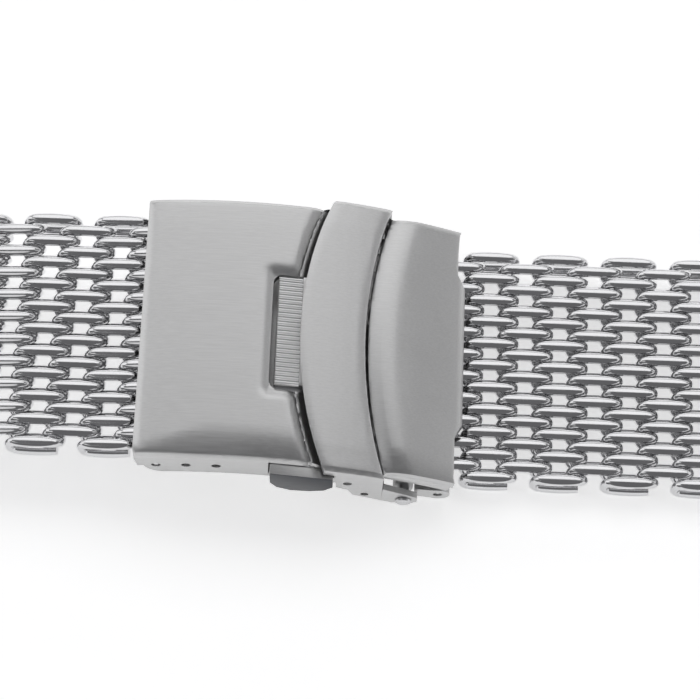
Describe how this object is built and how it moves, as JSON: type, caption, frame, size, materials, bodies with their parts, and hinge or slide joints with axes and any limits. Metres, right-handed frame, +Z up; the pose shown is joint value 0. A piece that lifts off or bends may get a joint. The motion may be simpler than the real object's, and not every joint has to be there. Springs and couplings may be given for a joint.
{
  "type": "mesh watch strap with fold-over clasp",
  "caption": "Woven wire mesh watch strap whose halves meet in a fold-over clasp with a side push button and a flip-up safety bow.",
  "frame": {"origin": "middle of the strap's length and width, on the table it lies on", "axes": "+X along the strap towards the half that hangs on the clasp's lower blade, +Y across it to the back, +Z up, out of the clasp's cover"},
  "size_m": [0.1054, 0.0262, 0.0093],
  "materials": {
    "polished_wire": "polished steel wire",
    "brushed_clasp": "satin, brushed along the strap",
    "plain_steel": "bright turned steel",
    "spring_steel": "spring steel"
  },
  "bodies": {
    "cover": {"cover": "brushed_clasp", "catch_bracket": "plain_steel", "bow_rivets": "plain_steel", "fold_pin_cover": "plain_steel", "adjust_bar_tube": "plain_steel", "adjust_bar_spring": "spring_steel", "button_spring_front": "spring_steel"},
    "safety_bow": {"safety_bow": "brushed_clasp"},
    "button_front": {"button_front": "brushed_clasp"},
    "upper_blade": {"upper_blade": "brushed_clasp"},
    "lower_blade": {"lower_blade": "brushed_clasp", "latch_stud": "plain_steel", "fold_pin_blades": "plain_steel", "end_bar_tube": "plain_steel", "end_bar_spring": "spring_steel"},
    "adjust_bar_tip_front": {"adjust_bar_tip_front": "plain_steel"},
    "adjust_bar_tip_back": {"adjust_bar_tip_back": "plain_steel"},
    "end_bar_tip_front": {"end_bar_tip_front": "plain_steel"},
    "end_bar_tip_back": {"end_bar_tip_back": "plain_steel"},
    "left_coil_01": {"left_coil_01": "polished_wire"},
    "left_coil_02": {"left_coil_02": "polished_wire"},
    "left_coil_03": {"left_coil_03": "polished_wire"},
    "left_coil_04": {"left_coil_04": "polished_wire"},
    "left_coil_05": {"left_coil_05": "polished_wire"},
    "left_coil_06": {"left_coil_06": "polished_wire"},
    "left_coil_07": {"left_coil_07": "polished_wire"},
    "left_coil_08": {"left_coil_08": "polished_wire"},
    "left_coil_09": {"left_coil_09": "polished_wire"},
    "left_coil_10": {"left_coil_10": "polished_wire"},
    "left_coil_11": {"left_coil_11": "polished_wire"},
    "left_coil_12": {"left_coil_12": "polished_wire", "left_end_piece": "brushed_clasp", "left_lug_bar_tube": "plain_steel", "left_lug_bar_spring": "spring_steel"},
    "right_coil_01": {"right_coil_01": "polished_wire"},
    "right_coil_02": {"right_coil_02": "polished_wire"},
    "right_coil_03": {"right_coil_03": "polished_wire"},
    "right_coil_04": {"right_coil_04": "polished_wire"},
    "right_coil_05": {"right_coil_05": "polished_wire"},
    "right_coil_06": {"right_coil_06": "polished_wire"},
    "right_coil_07": {"right_coil_07": "polished_wire"},
    "right_coil_08": {"right_coil_08": "polished_wire"},
    "right_coil_09": {"right_coil_09": "polished_wire"},
    "right_coil_10": {"right_coil_10": "polished_wire"},
    "right_coil_11": {"right_coil_11": "polished_wire"},
    "right_coil_12": {"right_coil_12": "polished_wire", "right_end_piece": "brushed_clasp", "right_lug_bar_tube": "plain_steel", "right_lug_bar_spring": "spring_steel"},
    "left_lug_bar_tip_front": {"left_lug_bar_tip_front": "plain_steel"},
    "left_lug_bar_tip_back": {"left_lug_bar_tip_back": "plain_steel"},
    "right_lug_bar_tip_front": {"right_lug_bar_tip_front": "plain_steel"},
    "right_lug_bar_tip_back": {"right_lug_bar_tip_back": "plain_steel"}
  },
  "joints": [
    {"name": "bow_hinge", "type": "hinge", "parent": "cover", "child": "safety_bow", "pos_m": [0.00882, 0, 0.00172], "axis": [0, 1, 0], "range_deg": [0, 85]},
    {"name": "button_front_push", "type": "slide", "parent": "cover", "child": "button_front", "axis": [0, 1, 0], "range_m": [0, 0.0007], "stiffness_N_per_m": 800, "springref_m": -0.001, "deforming": ["button_spring_front"]},
    {"name": "upper_blade_fold", "type": "hinge", "parent": "cover", "child": "upper_blade", "pos_m": [0.00867, 0, 0.00392], "axis": [0, -1, 0], "range_deg": [0, 150]},
    {"name": "lower_blade_fold", "type": "hinge", "parent": "upper_blade", "child": "lower_blade", "pos_m": [-0.01108, 0, 0.00402], "axis": [0, 1, 0], "range_deg": [0, 150]},
    {"name": "adjust_bar_tip_front_slide", "type": "slide", "parent": "cover", "child": "adjust_bar_tip_front", "axis": [0, 1, 0], "range_m": [0, 0.0009], "stiffness_N_per_m": 400, "springref_m": -0.001, "deforming": ["adjust_bar_spring"]},
    {"name": "adjust_bar_tip_back_slide", "type": "slide", "parent": "cover", "child": "adjust_bar_tip_back", "axis": [0, -1, 0], "range_m": [0, 0.0009], "stiffness_N_per_m": 400, "springref_m": -0.001, "deforming": ["adjust_bar_spring"]},
    {"name": "end_bar_tip_front_slide", "type": "slide", "parent": "lower_blade", "child": "end_bar_tip_front", "axis": [0, 1, 0], "range_m": [0, 0.0009], "stiffness_N_per_m": 400, "springref_m": -0.001, "deforming": ["end_bar_spring"]},
    {"name": "end_bar_tip_back_slide", "type": "slide", "parent": "lower_blade", "child": "end_bar_tip_back", "axis": [0, -1, 0], "range_m": [0, 0.0009], "stiffness_N_per_m": 400, "springref_m": -0.001, "deforming": ["end_bar_spring"]},
    {"name": "left_mesh_01", "type": "hinge", "parent": "cover", "child": "left_coil_01", "pos_m": [-0.0125, 0, 0.0066], "axis": [0, 1, 0], "range_deg": [-15, 3]},
    {"name": "left_mesh_02", "type": "hinge", "parent": "left_coil_01", "child": "left_coil_02", "pos_m": [-0.01527, 0, 0.00619], "axis": [0, 1, 0], "range_deg": [-20.5, 4.5]},
    {"name": "left_mesh_03", "type": "hinge", "parent": "left_coil_02", "child": "left_coil_03", "pos_m": [-0.01837, 0, 0.00602], "axis": [0, 1, 0], "range_deg": [-18, 7]},
    {"name": "left_mesh_04", "type": "hinge", "parent": "left_coil_03", "child": "left_coil_04", "pos_m": [-0.02147, 0, 0.00602], "axis": [0, 1, 0], "range_deg": [-14.3, 10.7]},
    {"name": "left_mesh_05", "type": "hinge", "parent": "left_coil_04", "child": "left_coil_05", "pos_m": [-0.02457, 0, 0.00599], "axis": [0, 1, 0], "range_deg": [-9.96, 15.04]},
    {"name": "left_mesh_06", "type": "hinge", "parent": "left_coil_05", "child": "left_coil_06", "pos_m": [-0.02765, 0, 0.00568], "axis": [0, 1, 0], "range_deg": [-7.55, 17.45]},
    {"name": "left_mesh_07", "type": "hinge", "parent": "left_coil_06", "child": "left_coil_07", "pos_m": [-0.03067, 0, 0.00497], "axis": [0, 1, 0], "range_deg": [-9.03, 15.97]},
    {"name": "left_mesh_08", "type": "hinge", "parent": "left_coil_07", "child": "left_coil_08", "pos_m": [-0.0336, 0, 0.00395], "axis": [0, 1, 0], "range_deg": [-13.62, 11.38]},
    {"name": "left_mesh_09", "type": "hinge", "parent": "left_coil_08", "child": "left_coil_09", "pos_m": [-0.0365, 0, 0.00286], "axis": [0, 1, 0], "range_deg": [-18.94, 6.06]},
    {"name": "left_mesh_10", "type": "hinge", "parent": "left_coil_09", "child": "left_coil_10", "pos_m": [-0.03947, 0, 0.00198], "axis": [0, 1, 0], "range_deg": [-22.2, 2.8]},
    {"name": "left_mesh_11", "type": "hinge", "parent": "left_coil_10", "child": "left_coil_11", "pos_m": [-0.04253, 0, 0.00147], "axis": [0, 1, 0], "range_deg": [-21.7, 3.3]},
    {"name": "left_mesh_12", "type": "hinge", "parent": "left_coil_11", "child": "left_coil_12", "pos_m": [-0.04563, 0, 0.00133], "axis": [0, 1, 0], "range_deg": [-17.7, 7.3]},
    {"name": "right_mesh_01", "type": "hinge", "parent": "lower_blade", "child": "right_coil_01", "pos_m": [0.01182, 0, 0.00133], "axis": [0, 1, 0], "range_deg": [-4, 15]},
    {"name": "right_mesh_02", "type": "hinge", "parent": "right_coil_01", "child": "right_coil_02", "pos_m": [0.01463, 0, 0.00133], "axis": [0, 1, 0], "range_deg": [-10, 15]},
    {"name": "right_mesh_03", "type": "hinge", "parent": "right_coil_02", "child": "right_coil_03", "pos_m": [0.01773, 0, 0.00133], "axis": [0, 1, 0], "range_deg": [-10, 15]},
    {"name": "right_mesh_04", "type": "hinge", "parent": "right_coil_03", "child": "right_coil_04", "pos_m": [0.02083, 0, 0.00133], "axis": [0, 1, 0], "range_deg": [-10, 15]},
    {"name": "right_mesh_05", "type": "hinge", "parent": "right_coil_04", "child": "right_coil_05", "pos_m": [0.02393, 0, 0.00133], "axis": [0, 1, 0], "range_deg": [-10, 15]},
    {"name": "right_mesh_06", "type": "hinge", "parent": "right_coil_05", "child": "right_coil_06", "pos_m": [0.02703, 0, 0.00133], "axis": [0, 1, 0], "range_deg": [-10, 15]},
    {"name": "right_mesh_07", "type": "hinge", "parent": "right_coil_06", "child": "right_coil_07", "pos_m": [0.03013, 0, 0.00133], "axis": [0, 1, 0], "range_deg": [-10, 15]},
    {"name": "right_mesh_08", "type": "hinge", "parent": "right_coil_07", "child": "right_coil_08", "pos_m": [0.03323, 0, 0.00133], "axis": [0, 1, 0], "range_deg": [-10, 15]},
    {"name": "right_mesh_09", "type": "hinge", "parent": "right_coil_08", "child": "right_coil_09", "pos_m": [0.03633, 0, 0.00133], "axis": [0, 1, 0], "range_deg": [-10, 15]},
    {"name": "right_mesh_10", "type": "hinge", "parent": "right_coil_09", "child": "right_coil_10", "pos_m": [0.03943, 0, 0.00133], "axis": [0, 1, 0], "range_deg": [-10, 15]},
    {"name": "right_mesh_11", "type": "hinge", "parent": "right_coil_10", "child": "right_coil_11", "pos_m": [0.04253, 0, 0.00133], "axis": [0, 1, 0], "range_deg": [-10, 15]},
    {"name": "right_mesh_12", "type": "hinge", "parent": "right_coil_11", "child": "right_coil_12", "pos_m": [0.04563, 0, 0.00133], "axis": [0, 1, 0], "range_deg": [-10, 15]},
    {"name": "left_lug_bar_tip_front_slide", "type": "slide", "parent": "left_coil_12", "child": "left_lug_bar_tip_front", "axis": [0, 1, 0], "range_m": [0, 0.0012], "stiffness_N_per_m": 400, "springref_m": -0.001, "deforming": ["left_lug_bar_spring"]},
    {"name": "left_lug_bar_tip_back_slide", "type": "slide", "parent": "left_coil_12", "child": "left_lug_bar_tip_back", "axis": [0, -1, 0], "range_m": [0, 0.0012], "stiffness_N_per_m": 400, "springref_m": -0.001, "deforming": ["left_lug_bar_spring"]},
    {"name": "right_lug_bar_tip_front_slide", "type": "slide", "parent": "right_coil_12", "child": "right_lug_bar_tip_front", "axis": [0, 1, 0], "range_m": [0, 0.0012], "stiffness_N_per_m": 400, "springref_m": -0.001, "deforming": ["right_lug_bar_spring"]},
    {"name": "right_lug_bar_tip_back_slide", "type": "slide", "parent": "right_coil_12", "child": "right_lug_bar_tip_back", "axis": [0, -1, 0], "range_m": [0, 0.0012], "stiffness_N_per_m": 400, "springref_m": -0.001, "deforming": ["right_lug_bar_spring"]}
  ],
  "couplings": [
    {"joint": "lower_blade_fold", "follows": "upper_blade_fold", "ratio": 1}
  ]
}
